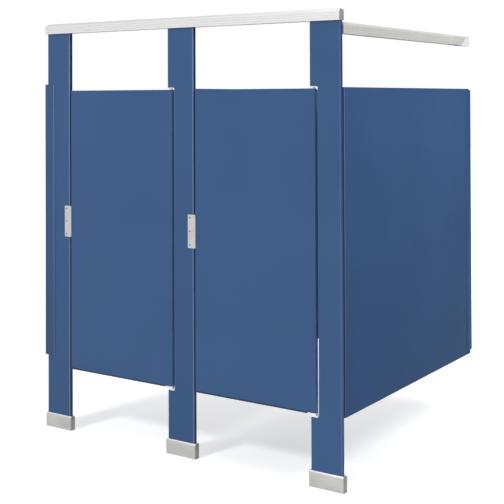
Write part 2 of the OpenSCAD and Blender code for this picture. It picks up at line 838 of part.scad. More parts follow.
pilaster(0);  // pilaster_left
pilaster(1);  // pilaster_middle
pilaster(2);  // pilaster_right
pilaster_cores();
divider_place() panel_pan(divider_l, 1);  // divider_left_sheet
divider_place() panel_pan(divider_l, -1);  // divider_right_sheet
color(board) divider_place() leaf_core(divider_l, panel_h);  // divider_core
end_panel_place() panel_pan(end_panel_l, -1);  // end_panel_outer_sheet
end_panel_place() panel_pan(end_panel_l, 1);  // end_panel_inner_sheet
color(board) end_panel_place() leaf_core(end_panel_l, panel_h);  // end_panel_core
headrail_front();
headrail_side();
headrail_end_cap();
headrail_side_socket();
headrail_back_socket();
headrail_corner_bracket();
headrail_screws();
shoe(0);  // shoe_left
shoe(1);  // shoe_middle
shoe(2);  // shoe_right
foot_plate(0);  // foot_plate_left
foot_plate(1);  // foot_plate_middle
foot_plate(2);  // foot_plate_right
levelling_studs();
levelling_nuts();
keeper(0);  // keeper_left
keeper(1);  // keeper_right
keeper_bumpers();
keeper_screws();
lower_pivot(0);  // lower_pivot_left
lower_pivot(1);  // lower_pivot_right
upper_pivot(0);  // upper_pivot_left
upper_pivot(1);  // upper_pivot_right
pilaster_wall_channel();
panel_wall_channel(0);  // divider_wall_channel
panel_wall_channel(end_panel_x);  // end_panel_wall_channel
channel_screws();
divider_brackets();
end_panel_brackets();
bracket_screws();
door_pan(0, -1);  // door_left_outer_pan
door_pan(0, 1);  // door_left_inner_pan
door_core(0);  // door_left_core
hinge_blocks(0);  // door_left_hinge_blocks
latch_case(0);  // latch_case_left
latch_bolt(0);  // latch_bolt_left
coat_hook(0);  // coat_hook_left
hook_bumper(0);  // hook_bumper_left
door_screws(0);  // door_left_screws
door_pan(1, -1);  // door_right_outer_pan
door_pan(1, 1);  // door_right_inner_pan
door_core(1);  // door_right_core
hinge_blocks(1);  // door_right_hinge_blocks
latch_case(1);  // latch_case_right
latch_bolt(1);  // latch_bolt_right
coat_hook(1);  // coat_hook_right
hook_bumper(1);  // hook_bumper_right
door_screws(1);  // door_right_screws
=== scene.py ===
# %% [markdown]
# # A two-compartment toilet cubicle in blue powder-coated steel
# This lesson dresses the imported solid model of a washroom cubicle. The model gives every panel,
# rail and fitting its place. Here each of them gets its finish, and the small fittings that the
# eye dwells on, such as screws, knobs and hooks, are made again in finer detail.

# %% Load the frame
import bpy
import bmesh
import math
from mathutils import Matrix, Vector


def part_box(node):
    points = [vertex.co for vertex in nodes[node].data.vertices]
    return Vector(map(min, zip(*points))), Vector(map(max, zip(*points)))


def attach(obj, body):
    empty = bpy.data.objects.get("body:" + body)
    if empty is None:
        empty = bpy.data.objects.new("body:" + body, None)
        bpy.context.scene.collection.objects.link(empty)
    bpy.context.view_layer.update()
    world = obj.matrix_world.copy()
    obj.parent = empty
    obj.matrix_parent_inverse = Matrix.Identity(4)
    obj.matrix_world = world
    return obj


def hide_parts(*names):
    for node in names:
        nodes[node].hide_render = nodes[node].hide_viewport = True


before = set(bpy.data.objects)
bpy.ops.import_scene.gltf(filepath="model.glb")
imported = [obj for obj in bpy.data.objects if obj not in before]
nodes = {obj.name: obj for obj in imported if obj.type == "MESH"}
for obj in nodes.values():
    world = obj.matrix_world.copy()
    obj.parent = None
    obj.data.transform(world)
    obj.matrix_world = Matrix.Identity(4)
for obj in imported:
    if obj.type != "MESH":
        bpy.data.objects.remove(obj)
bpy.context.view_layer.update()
print("pieces in the frame:", len(nodes))

# %% [markdown]
# ## The camera
# The photograph was taken from the front right at about eye height, with the camera held nearly
# level and its lens shifted down. A camera tilted down would hold the object as well, but then its
# uprights would lean together. Its place was found by matching corners of the real object, and the
# same numbers are used here.

# %% Camera
YAW = math.radians(33.7255)
PITCH = math.radians(0.7367)
ROLL = math.radians(-0.1979)
CAMERA_AT = (3.1985, -4.1652, 1.7532)
LENS_MM = 75.77
LENS_SHIFT = -0.3317


def aim(yaw, pitch, roll):
    """Axes of a camera that looks along +Y, turned left by yaw, up by pitch and then rolled."""
    side = Vector((math.cos(yaw), math.sin(yaw), 0))
    level = Vector((-math.sin(yaw), math.cos(yaw), 0))
    up = Vector((0, 0, 1))
    ahead = level * math.cos(pitch) + up * math.sin(pitch)
    top = up * math.cos(pitch) - level * math.sin(pitch)
    right = side * math.cos(roll) + top * math.sin(roll)
    over = top * math.cos(roll) - side * math.sin(roll)
    return Matrix((right, over, -ahead)).transposed()


camera = bpy.data.objects.new("camera", bpy.data.cameras.new("camera"))
bpy.context.scene.collection.objects.link(camera)
camera.data.sensor_width = 36
camera.data.lens = LENS_MM
camera.data.shift_y = LENS_SHIFT
camera.data.clip_start = 0.1
camera.data.clip_end = 200
camera.matrix_world = Matrix.Translation(CAMERA_AT) @ aim(YAW, PITCH, ROLL).to_4x4()
bpy.context.scene.camera = camera
print("camera at", tuple(round(v, 3) for v in camera.location))

# %% [markdown]
# ## Small helpers for node materials
# Every finish here is a small node tree: a shader, a coordinate that sticks to the piece, and a
# few noises that break up colour, gloss and surface. It could be wired by hand in the shader
# editor. Written as functions, one tree serves many finishes and stays short to read.

# %% A new finish, and noise on it


def finish(name, colour, rough, metallic=0.0, spec=0.5):
    """A new material with one shader, and its tree, shader and object coordinates."""
    mat = bpy.data.materials.new(name)
    mat.use_nodes = True
    tree = mat.node_tree
    shader = tree.nodes["Principled BSDF"]
    shader.inputs["Base Color"].default_value = (*colour, 1)
    shader.inputs["Roughness"].default_value = rough
    shader.inputs["Metallic"].default_value = metallic
    shader.inputs["Specular IOR Level"].default_value = spec
    place = tree.nodes.new("ShaderNodeTexCoord")
    return mat, tree, shader, place


def stretched(tree, place, scale):
    """Object coordinates, scaled differently along each axis."""
    node = tree.nodes.new("ShaderNodeMapping")
    node.inputs["Scale"].default_value = scale
    tree.links.new(place.outputs["Object"], node.inputs["Vector"])
    return node.outputs["Vector"]


def noise(tree, vector, scale, detail=3.0, rough=0.5):
    """Cloud-like noise, as a value."""
    node = tree.nodes.new("ShaderNodeTexNoise")
    node.inputs["Scale"].default_value = scale
    node.inputs["Detail"].default_value = detail
    node.inputs["Roughness"].default_value = rough
    tree.links.new(vector, node.inputs["Vector"])
    return node.outputs["Fac"]


print("noise helpers ready")

# %% [markdown]
# Noises are turned into factors, and factors into colours, gloss and relief. Remapping cuts a
# noise to the range that is wanted, and blending then carries one colour into another.

# %% From noise to colour and relief


def remap(tree, value, low, high, to_low, to_high):
    """Map a value from low..high to to_low..to_high, clamped."""
    node = tree.nodes.new("ShaderNodeMapRange")
    ends = {"From Min": low, "From Max": high, "To Min": to_low, "To Max": to_high}
    for key, v in ends.items():
        node.inputs[key].default_value = v
    tree.links.new(value, node.inputs["Value"])
    return node.outputs["Result"]


def blend_colour(tree, factor, a, b):
    """Mix two colours, each a colour or another node's output."""
    node = tree.nodes.new("ShaderNodeMix")
    node.data_type = "RGBA"
    factor_in, a_in, b_in = node.inputs[0], node.inputs[6], node.inputs[7]
    for socket, v in ((a_in, a), (b_in, b)):
        if isinstance(v, tuple):
            socket.default_value = (*v, 1)
        else:
            tree.links.new(v, socket)
    tree.links.new(factor, factor_in)
    return node.outputs[2]


def maths(tree, kind, a, b):
    """One sum, product or the like, of numbers or other nodes' outputs."""
    node = tree.nodes.new("ShaderNodeMath")
    node.operation = kind
    for socket, v in zip(node.inputs, (a, b)):
        if isinstance(v, (int, float)):
            socket.default_value = v
        else:
            tree.links.new(v, socket)
    return node.outputs[0]


def times(tree, a, b):
    """The product of two numbers or outputs."""
    return maths(tree, "MULTIPLY", a, b)


def apart(tree, vector):
    """The X, Y and Z of a vector."""
    node = tree.nodes.new("ShaderNodeSeparateXYZ")
    tree.links.new(vector, node.inputs[0])
    return node.outputs


def bumped(tree, shader, height, distance, strength):
    """Fine relief: distance is its depth in metres."""
    node = tree.nodes.new("ShaderNodeBump")
    node.inputs["Distance"].default_value = distance
    node.inputs["Strength"].default_value = strength
    tree.links.new(height, node.inputs["Height"])
    tree.links.new(node.outputs["Normal"], shader.inputs["Normal"])


print("colour and relief helpers ready")

# %% [markdown]
# ## Powder coat: colour and scuffs
# The sheets are sprayed with dry powder and baked. The coat is even and slightly glossy. Its colour
# has a broad, weak cloudiness, and low down it gets faint level scuffs from shoes and mops: a noise
# stretched sideways, kept to patches, and faded out with height. The scuffs could be painted, but
# a painting has to be wrapped onto every sheet, and noise in object coordinates fits them all.

# %% Coat colour and scuffs
FACE_BLUE = (0.034, 0.0975, 0.236)
# the side blue is a copy of the face blue with its tone set as painted light and shade for faces that look
# sideways
SIDE_BLUE = (0.041, 0.0965, 0.221)
SCUFF_BLUE = (0.10, 0.15, 0.25)
SCUFF_FADE = (0.15, 0.85)    # scuffs are full below the first height and gone above the second
SCUFF_STRENGTH = 0.28


def cloudy(tree, at, colour):
    """The colour, varied by 5 percent in broad clouds."""
    cloud = remap(tree, noise(tree, at, scale=2.3, detail=2.0), 0.3, 0.7, 0.0, 1.0)
    darker, lighter = tuple(c * 0.95 for c in colour), tuple(c * 1.05 for c in colour)
    return blend_colour(tree, cloud, darker, lighter)


def scuffs(tree, place):
    """How scuffed each point is: short level streaks, in patches, only low down."""
    at = place.outputs["Object"]
    streak = noise(tree, stretched(tree, place, (9, 9, 160)), scale=1.0, detail=5.0, rough=0.7)
    patch = noise(tree, at, scale=5.5)
    low_down = remap(tree, apart(tree, at)["Z"], *SCUFF_FADE, 1.0, 0.0)
    marks = times(tree, remap(tree, streak, 0.62, 0.75, 0.0, 1.0), remap(tree, patch, 0.5, 0.65, 0.0, 1.0))
    return times(tree, times(tree, marks, low_down), SCUFF_STRENGTH)


print("coat colours ready")

# %% [markdown]
# ## Powder coat: painted shade on edges, painted highlights on bends
# The bends are painted as pale lines, a painted highlight where a rounded corner catches the light.
# The narrow folded edges are painted darker than the flat faces, as painted shade. Both are found
# by which way the surface looks, compared with the piece's flat faces. The edges could be picked out
# by hand and painted, but asking for the direction goes on working when a sheet changes. Where an
# edge colour is paler than the face, as on the doors' and side panels' edges and on edges that look
# to the left, it is painted light, which also lightens the gaps beside the doors.

# %% Painted shade on edges, painted highlights on bends
# the edge colour below is painted shade on the folded edges, and the colour after it a painted highlight on
# the bends
EDGE_SHADE_BLUE = (0.002, 0.028, 0.098)
BEND_HIGHLIGHT_BLUE = (0.20, 0.25, 0.47)


def painted_edges_and_bends(tree, looks, face_axis, colour, edge, left_edge, pale):
    """The colour with its folded edges painted in the edge colour, as painted shade where that is darker and
    painted light where it is paler, and a painted highlight on its bends; looks holds the X, Y and Z of the
    normal.
    """
    facing = maths(tree, "ABSOLUTE", looks[face_axis], 0)
    # folded edges get the edge colour: painted shade where it is darker than the face, painted light where it
    # is paler
    folded = remap(tree, facing, 0.35, 0.05, 0.0, 1.0)
    colour = blend_colour(tree, folded, colour, edge)
    # edges that look to the left get a paler colour, painted light
    if left_edge:
        leftward = times(tree, folded, remap(tree, looks["X"], -0.5, -0.9, 0.0, 1.0))
        colour = blend_colour(tree, leftward, colour, left_edge)
    # bends are where it has turned half-way and stays upright; they get the painted highlight
    off_face, off_edge = remap(tree, facing, 0.995, 0.95, 0.0, pale), remap(tree, facing, 0.2, 0.45, 0.0, 1.0)
    upright = remap(tree, maths(tree, "ABSOLUTE", looks["Z"], 0), 0.1, 0.4, 1.0, 0.0)
    bend_highlight = times(tree, times(tree, off_face, off_edge), upright)
    return blend_colour(tree, bend_highlight, colour, BEND_HIGHLIGHT_BLUE)


print("folds ready")

# %% [markdown]
# ## Powder coat: the whole finish
# The coat ends in a fine orange-peel texture, a millimetre or so across. It is so shallow that bump
# shows it as well as real relief would, without a single face more. Its gloss varies a little and
# drops where it is scuffed. The colour is painted darker towards the bottom, as painted shade, and a
# door's lowest few millimetres are painted dark, a painted shade along its lower edge.

# %% Powder coat
# the next two colours are painted shade: a dark band along a door's foot, and the darker blue that the coat
# goes over to towards the bottom
HEM_SHADE_BLUE = (0.012, 0.034, 0.078)
LOW_SHADE_BLUE = (0.004, 0.038, 0.112)
PEEL_DEPTH = 0.00012


def powder_coat(name, face_axis, face=FACE_BLUE, edge=EDGE_SHADE_BLUE, left_edge=None,
        pale=1.0, spec=0.3, hem_shade=0.0, low_shade=0.0):
    """Blue coat whose flat faces look along one axis (0 for X, 1 for Y).

    edge, left_edge: colour of the folded edges, and of those that look to the left; painted shade
    where darker than the face, painted light where paler.
    pale: strength of the painted highlight on the bends. spec: strength of the gloss.
    hem: share of the piece's height that a painted dark band at its foot takes, a painted shade.
    dull: how far it goes over to the darker blue from top to bottom, a painted shade."""
    mat, tree, shader, place = finish(name, face, 0.42, spec=spec)
    at = place.outputs["Object"]
    scuff = scuffs(tree, place)
    colour = blend_colour(tree, scuff, cloudy(tree, at, face), SCUFF_BLUE)
    looks = apart(tree, place.outputs["Normal"])
    colour = painted_edges_and_bends(tree, looks, face_axis, colour, edge, left_edge, pale)
    height = apart(tree, place.outputs["Generated"])["Z"]
    # painted shade: darker towards the bottom, and a dark band along the foot
    if low_shade:
        colour = blend_colour(tree, remap(tree, height, 0.85, 0.15, 0.0, low_shade), colour, LOW_SHADE_BLUE)
    if hem_shade:
        colour = blend_colour(tree, remap(tree, height, hem_shade * 1.3, hem_shade, 0.0, 1.0), colour, HEM_SHADE_BLUE)
    tree.links.new(colour, shader.inputs["Base Color"])
    gloss = remap(tree, noise(tree, at, scale=14.0, detail=4.0), 0.3, 0.7, 0.38, 0.46)
    tree.links.new(maths(tree, "ADD", gloss, scuff), shader.inputs["Roughness"])
    peel = noise(tree, at, scale=620.0, detail=2.0, rough=0.55)
    bumped(tree, shader, peel, PEEL_DEPTH, 0.5)
    print("finish", name)
    return mat


print("the coat can be mixed")

# %% [markdown]
# Each group of pieces gets its own version of the coat: their flat faces look different ways, and
# the photograph shows small differences of tone between them. Those differences of colour between
# the copies are painted light and shade, for one blue coat lit differently.

# %% Coats for posts, doors, panels and channels
# the edge colours below are painted light where paler than the face (the left, hinge and side edges) and
# painted shade where darker (the last post's edges)
LEFT_EDGE_LIGHT = (0.10, 0.21, 0.40)
LAST_POST_EDGE_SHADE = (0.010, 0.046, 0.145)
HINGE_EDGE_LIGHT = (0.095, 0.225, 0.44)
SIDE_EDGE_LIGHT = (0.055, 0.115, 0.26)
# the two channel blues are darker copies of the face blue, painted shade
CHANNEL_BLUE = (0.033, 0.094, 0.228)
CHANNEL_SIDE_BLUE = (0.020, 0.083, 0.214)
coat_post = powder_coat("powder_coat_post", 1, left_edge=LEFT_EDGE_LIGHT, low_shade=0.15)
coat_last_post = powder_coat("powder_coat_last_post", 1, edge=LAST_POST_EDGE_SHADE, left_edge=LEFT_EDGE_LIGHT, pale=0.3)
coat_door = powder_coat("powder_coat_door", 1, edge=HINGE_EDGE_LIGHT, pale=0.25, hem_shade=0.0048)
coat_side = powder_coat("powder_coat_side", 0, SIDE_BLUE, SIDE_EDGE_LIGHT, pale=1.2, spec=0.03, low_shade=0.36)
coat_channel = powder_coat("powder_coat_channel", 1, CHANNEL_BLUE, FACE_BLUE, pale=1.15, low_shade=0.34)
coat_channel_side = powder_coat("powder_coat_channel_side", 0, CHANNEL_SIDE_BLUE, pale=0.5, spec=0.05)

# %% [markdown]
# ## Brushed and drawn metal
# The headrails are extruded aluminium: drawn lines run along them, and the anodised skin is pale
# and soft. The shoes are stainless sheet, brushed along its width. The lines are a noise stretched
# along one axis, used for the tone, the gloss and a very small bump. An anisotropic shader could
# draw the highlight out instead, but from a few metres away the streaks of tone count for more.
# Ends, slopes, undersides and grooves are painted darker, as painted shade.

# %% Which way a metal face looks
LINE_SCALE = 1400.0      # noise scale across the brushed lines
LINE_STRETCH = 160       # how many times longer than wide the lines are
LINE_DEPTH = 0.00002
# grooves are painted darker as painted shade; the number below says how bright they stay
GROOVE_SHADE = 0.90             # how bright a groove stays


def by_direction(tree, place, axis, low, high, to_low, to_high, both_ways=False):
    """A factor from how far a surface looks along one axis of its piece."""
    value = apart(tree, place.outputs["Normal"])[axis]
    if both_ways:
        value = maths(tree, "ABSOLUTE", value, 0)
    return remap(tree, value, low, high, to_low, to_high)


def shades(tree, place, along, ends, slope, under, crease):
    """How bright the metal stays at its ends, slopes, undersides and grooves, under painted shade."""
    # painted shade on ends, upward slopes and undersides
    shade = times(tree, by_direction(tree, place, along, 0.3, 0.9, 1.0, ends, True),
        by_direction(tree, place, 2, 0.2, 0.6, 1.0, slope))
    shade = times(tree, shade, by_direction(tree, place, 2, -0.9, -0.4, under, 1.0))
    # painted shade in grooves, where the surface is closely enclosed
    if crease:
        hollow = tree.nodes.new("ShaderNodeAmbientOcclusion")
        hollow.samples = 8
        hollow.inputs["Distance"].default_value = crease
        shade = times(tree, shade, remap(tree, hollow.outputs["AO"], 0.55, 1.0, GROOVE_SHADE, 1.0))
    return shade


print("shades ready")

# %% [markdown]
# In the finish itself the tone varies along the lines and over broad clouds, the shades above
# scale it, and the same lines make the gloss uneven, as brushing does.

# %% Brushed metal


def brushed(name, colour, rough, along, metallic=1.0, ends=1.0, slope=1.0, crease=0.0, streaks=0.08,
        under=0.3):
    """Metal with fine lines that run along one axis (0, 1 or 2).

    ends, slope, under: how bright it stays at its ends, where it tilts upwards, and underneath,
    under painted shade.
    crease: width of the grooves that get painted shade. streaks: how much its tone varies."""
    mat, tree, shader, place = finish(name, colour, rough, metallic)
    scale = [LINE_SCALE] * 3
    scale[along] = LINE_SCALE / LINE_STRETCH
    lines = noise(tree, stretched(tree, place, tuple(scale)), scale=1.0, rough=0.6)
    cloud = noise(tree, place.outputs["Object"], scale=7.0)
    tone = maths(tree, "ADD", times(tree, lines, 0.6), times(tree, cloud, 0.4))
    light = tuple(min(1.0, c * (1 + streaks * 0.8)) for c in colour)
    dark = tuple(c * (1 - streaks) for c in colour)
    tinted = blend_colour(tree, remap(tree, tone, 0.35, 0.65, 0.0, 1.0), dark, light)
    shaded = tree.nodes.new("ShaderNodeVectorMath")
    shaded.operation = "SCALE"
    tree.links.new(tinted, shaded.inputs[0])
    tree.links.new(shades(tree, place, along, ends, slope, under, crease), shaded.inputs["Scale"])
    tree.links.new(shaded.outputs[0], shader.inputs["Base Color"])
    gloss = remap(tree, lines, 0.3, 0.7, rough - 0.07, rough + 0.08)
    tree.links.new(gloss, shader.inputs["Roughness"])
    bumped(tree, shader, lines, LINE_DEPTH, 0.6)
    print("finish", name)
    return mat


# the side rail's grey, paler than the front rail's, is painted light: both rails are the same anodised
# aluminium
FRONT_RAIL_GREY = (0.76, 0.76, 0.76)
SIDE_RAIL_GREY = (0.81, 0.80, 0.77)
SHOE_GREY = (0.57, 0.57, 0.54)
# the rim grey, paler than the shoe grey, is a painted highlight
RIM_HIGHLIGHT_GREY = (0.66, 0.66, 0.68)
rail_front = brushed("anodised_rail_front", FRONT_RAIL_GREY, 0.42, 0, 0.75, slope=0.78, crease=0.003,
    streaks=0.04, under=0.5)
rail_side = brushed("anodised_rail_side", SIDE_RAIL_GREY, 0.42, 1, 0.4, slope=0.88, streaks=0.06, under=0.08)
shoe_steel = brushed("brushed_shoe_steel", SHOE_GREY, 0.38, 0, 0.9, ends=0.5, streaks=0.16)
shoe_rim_highlight = brushed("shoe_rim_painted_highlight", RIM_HIGHLIGHT_GREY, 0.34, 0, 0.8)

# %% [markdown]
# ## Plated castings and screws
# The cast fittings are plated and satin, with a faint cloudiness from polishing. They have no
# direction, so a fine even noise gives their grain and a broader one varies colour and gloss.

# %% Plated castings and screws
CAST_GRAIN = 900.0
CAST_DEPTH = 0.00003


def satin(name, colour, rough, metallic=1.0):
    """Plated casting: even, with fine grain and soft clouds."""
    mat, tree, shader, place = finish(name, colour, rough, metallic)
    at = place.outputs["Object"]
    cloud = noise(tree, at, scale=45.0, detail=4.0)
    light = tuple(min(1.0, c * 1.05) for c in colour)
    dark = tuple(c * 0.93 for c in colour)
    tint = blend_colour(tree, remap(tree, cloud, 0.3, 0.7, 0.0, 1.0), dark, light)
    tree.links.new(tint, shader.inputs["Base Color"])
    gloss = remap(tree, cloud, 0.3, 0.7, rough - 0.05, rough + 0.06)
    tree.links.new(gloss, shader.inputs["Roughness"])
    bumped(tree, shader, noise(tree, at, CAST_GRAIN, detail=2.0), CAST_DEPTH, 0.6)
    print("finish", name)
    return mat


zinc = satin("zinc_plate", (0.55, 0.56, 0.57), 0.45)
casting = satin("satin_casting", (0.599, 0.589, 0.578), 0.36, 0.9)
fitting = satin("rail_fitting", (0.62, 0.62, 0.61), 0.45, 0.8)
# the pale socket finish is a paler copy of the rail fitting, painted light
pale_fitting = satin("pale_rail_socket", (0.79, 0.79, 0.78), 0.5, 0.1)
dark_fitting = satin("dark_end_cap", (0.46, 0.49, 0.51), 0.5, 0.6)
screw_metal = satin("screw_plate", (0.62, 0.62, 0.62), 0.30)
dark_screw = satin("darkened_screw", (0.20, 0.19, 0.19), 0.42)

# %% [markdown]
# ## Plastics and rubber
# The pivots are moulded nylon, a little cloudy and matt. The bumpers are black rubber, which is
# never quite black: dust and moulding grain lift it to a dark grey. Pure black would look like a
# hole. The sheets' honeycomb core is brown board, hidden inside, with a coarse grain.

# %% Plastics and rubber


def moulded(name, colour, rough, grain, depth, dust=0.0):
    """Moulded or pressed stuff: matt, cloudy and grainy, with dust as a paler grey."""
    mat, tree, shader, place = finish(name, colour, rough, spec=0.35)
    at = place.outputs["Object"]
    cloud = noise(tree, at, scale=60.0, detail=4.0)
    pale = tuple(c + dust + c * 0.06 for c in colour)
    tint = blend_colour(tree, remap(tree, cloud, 0.35, 0.7, 0.0, 1.0), colour, pale)
    tree.links.new(tint, shader.inputs["Base Color"])
    gloss = remap(tree, cloud, 0.3, 0.7, rough - 0.04, rough + 0.06)
    tree.links.new(gloss, shader.inputs["Roughness"])
    bumped(tree, shader, noise(tree, at, grain, detail=2.0), depth, 0.7)
    print("finish", name)
    return mat


nylon = moulded("pivot_nylon", (0.95, 0.96, 0.96), 0.5, grain=1500.0, depth=0.00003)
rubber = moulded("bumper_rubber", (0.022, 0.022, 0.024), 0.7, grain=1100.0, depth=0.00006, dust=0.012)
board = moulded("honeycomb_board", (0.50, 0.38, 0.22), 0.85, grain=300.0, depth=0.0003)

# %% [markdown]
# ## Dress the sheets, rails and channels
# These solids already have the right shape, so they stay, and modifiers finish them. The import
# splits each solid along its edges, so they are welded first, flat areas are cleaned of spare
# edges, and then a fine bevel takes the knife edge off every fold, as the press brake does. The
# bevel could be cut into the mesh for good, but in a modifier its width stays one number.

# %% Edge finish
WELD_GAP = 0.00002    # points nearer than this are one point
FLAT_ANGLE = 0.3      # degrees, below which two faces are one flat area
FOLD_ANGLE = 32       # degrees, above which an edge counts as a fold


def ease_edges(name, width, steps=2):
    """Weld, clean and bevel a node with modifiers only."""
    obj = nodes[name]
    weld = obj.modifiers.new("weld", "WELD")
    weld.merge_threshold = WELD_GAP
    clean = obj.modifiers.new("clean", "DECIMATE")
    clean.decimate_type = "DISSOLVE"
    clean.angle_limit = math.radians(FLAT_ANGLE)
    bevel = obj.modifiers.new("bevel", "BEVEL")
    bevel.width = width
    bevel.segments = steps
    bevel.limit_method = "ANGLE"
    bevel.angle_limit = math.radians(FOLD_ANGLE)
    bevel.harden_normals = False
    smooth = obj.modifiers.new("normals", "WEIGHTED_NORMAL")
    smooth.weight = 60
    smooth.keep_sharp = False


def dress(names, material, width=None, steps=2):
    """Give nodes a finish, and eased edges where a width is given."""
    for name in names:
        obj = nodes[name]
        obj.data.materials.clear()
        obj.data.materials.append(material)
        if width:
            ease_edges(name, width, steps)


print("edge finish ready")

# %% [markdown]
# The width of each bevel follows how the piece is made: half a millimetre on folded sheet, a soft
# two millimetres on the rolled wall channel, a hair's breadth on sawn rails, and more on castings.

# %% Dress the pieces
SHEET_EDGE = 0.0005
ROLLED_EDGE = 0.0024
CHANNEL_EDGE = 0.0010
SAWN_EDGE = 0.0003
SOCKET_EDGE = 0.0004
CAST_EDGE = 0.0006
KEEPER_EDGE = 0.0007
CASE_EDGE = 0.0012
MOULDED_EDGE = 0.0006
dress(["pilaster_left", "pilaster_middle"], coat_post, SHEET_EDGE)
dress(["pilaster_right"], coat_last_post, SHEET_EDGE)
dress(["door_left_outer_pan", "door_left_inner_pan"], coat_door, SHEET_EDGE)
dress(["door_right_outer_pan", "door_right_inner_pan"], coat_door, SHEET_EDGE)
dress(["divider_left_sheet", "divider_right_sheet"], coat_side, SHEET_EDGE)
dress(["end_panel_outer_sheet", "end_panel_inner_sheet"], coat_side, SHEET_EDGE)
dress(["pilaster_cores", "divider_core", "end_panel_core", "door_left_core", "door_right_core"], board)
dress(["pilaster_wall_channel"], coat_channel, ROLLED_EDGE, 5)
dress(["divider_wall_channel", "end_panel_wall_channel"], coat_channel_side, CHANNEL_EDGE, 3)
dress(["headrail_front"], rail_front, SAWN_EDGE)
dress(["headrail_side"], rail_side, SAWN_EDGE)
dress(["headrail_side_socket", "headrail_back_socket"], pale_fitting, SOCKET_EDGE)
dress(["headrail_end_cap"], dark_fitting, SAWN_EDGE)
dress(["headrail_corner_bracket"], fitting, SOCKET_EDGE)
dress(["foot_plate_left", "foot_plate_middle", "foot_plate_right"], zinc, SHEET_EDGE)
dress(["levelling_studs", "levelling_nuts"], zinc)
dress(["keeper_left", "keeper_right"], casting, KEEPER_EDGE, 3)
dress(["divider_brackets", "end_panel_brackets"], casting, CAST_EDGE)
dress(["latch_case_left", "latch_case_right"], casting, CASE_EDGE, 3)
dress(["lower_pivot_left", "lower_pivot_right"], nylon, MOULDED_EDGE)
dress(["upper_pivot_left", "upper_pivot_right"], nylon, MOULDED_EDGE)
dress(["door_left_hinge_blocks", "door_right_hinge_blocks"], nylon, MOULDED_EDGE)
print("dressed", len([n for n in nodes.values() if n.type == "MESH" and n.data.materials]), "nodes")

# %% [markdown]
# ## Mesh tools
# The small fittings are built from rings of points: a ring is copied along an axis or a path and
# joined to the next, as a lathe or an extruder would. Curves or a screw modifier could make the
# same shapes, but in lists of rings every size is in plain sight. Two helpers do nearly everything:
# one makes the rings of a turned piece, the other puts a skin over rings.

# %% From points to a mesh


def build(name, verts, faces, material, sharp=35):
    """An object from points and faces, smooth except across sharp angles, of one or more materials."""
    mesh = bpy.data.meshes.new(name)
    mesh.from_pydata([tuple(v) for v in verts], [], faces)
    mesh.update()
    bm = bmesh.new()
    bm.from_mesh(mesh)
    bmesh.ops.recalc_face_normals(bm, faces=bm.faces)
    bm.to_mesh(mesh)
    bm.free()
    for poly in mesh.polygons:
        poly.use_smooth = True
    mesh.set_sharp_from_angle(angle=math.radians(sharp))
    for metal in material if isinstance(material, list) else [material]:
        mesh.materials.append(metal)
    obj = bpy.data.objects.new(name, mesh)
    bpy.context.scene.collection.objects.link(obj)
    return obj


def skin(rings, capped=True):
    """Points, and faces between rings of equal length, with a flat cap at each end if capped."""
    n = len(rings[0])
    verts = [p for ring in rings for p in ring]
    faces = []
    for r in range(len(rings) - 1):
        for k in range(n):
            a, b = r * n + k, r * n + (k + 1) % n
            faces.append((a, b, b + n, a + n))
    if capped:
        faces.append(tuple(range(n))[::-1])
        faces.append(tuple(range(len(verts) - n, len(verts))))
    return verts, faces


print("skin ready")

# %% [markdown]
# A turned piece is an outline spun about an axis. It is easiest to make about Z at the origin, and
# to move and turn its points into place afterwards.

# %% Turned pieces, and pieces in their place


def turned(profile, count, shape=None):
    """Rings of a turned piece about Z from (radius, height) pairs; shape may vary the radius."""
    rings = []
    for i, (radius, height) in enumerate(profile):
        ring = []
        for k in range(count):
            angle = 2 * math.pi * k / count
            r = radius * (shape(angle, i) if shape else 1)
            ring.append(Vector((r * math.cos(angle), r * math.sin(angle), height)))
        rings.append(ring)
    return rings


def placed(verts, at, towards, spin=0.0):
    """Points made along +Z, moved to a place and turned so that +Z looks that way."""
    turn = Vector(towards).to_track_quat("Z", "Y").to_matrix().to_4x4()
    m = Matrix.Translation(at) @ turn @ Matrix.Rotation(spin, 4, "Z")
    return [m @ v for v in verts]


def joined(parts):
    """One list of points and faces from several."""
    verts, faces = [], []
    for v, f in parts:
        base = len(verts)
        verts += v
        faces += [tuple(i + base for i in face) for face in f]
    return verts, faces


print("placing ready")

# %% [markdown]
# ## Tamper-proof screws
# Public washrooms use button-head screws with a six-lobed socket and a pin in its middle, which a
# plain driver can't turn. The plain screws of the frame say where each one sits: the wide end of
# every separate solid is its head. A detailed screw is set on each of those places. The keepers'
# screws are darkened, so they show on the pale casting.

# %% Where the screws are
HEAD_HEIGHT = 0.0022


def separate_solids(name):
    """The points of each separate solid of a node."""
    bm = bmesh.new()
    bm.from_mesh(nodes[name].data)
    bmesh.ops.remove_doubles(bm, verts=bm.verts, dist=WELD_GAP)
    left = set(bm.verts)
    solids = []
    while left:
        group, queue = set(), [next(iter(left))]
        while queue:
            v = queue.pop()
            if v in group:
                continue
            group.add(v)
            queue += [e.other_vert(v) for e in v.link_edges if e.other_vert(v) not in group]
        left -= group
        solids.append([v.co.copy() for v in group])
    bm.free()
    return solids


def screw_places(name):
    """For each screw of a node: the centre under its head, and the head's direction."""
    places = []
    for points in separate_solids(name):
        low = Vector([min(p[i] for p in points) for i in range(3)])
        high = Vector([max(p[i] for p in points) for i in range(3)])
        mid = (low + high) / 2
        axis = max(range(3), key=lambda i: high[i] - low[i])
        wide = max(points, key=lambda p: sum((p[i] - mid[i]) ** 2 for i in range(3) if i != axis))
        side = 1 if wide[axis] > mid[axis] else -1
        direction = Vector((0, 0, 0))
        direction[axis] = side
        seat = mid.copy()
        seat[axis] = (high[axis] if side > 0 else low[axis]) - side * HEAD_HEIGHT
        places.append((tuple(round(c, 5) for c in seat), direction))
    return sorted(places, key=lambda place: place[0])


print("keeper screws:", len(screw_places("keeper_screws")))

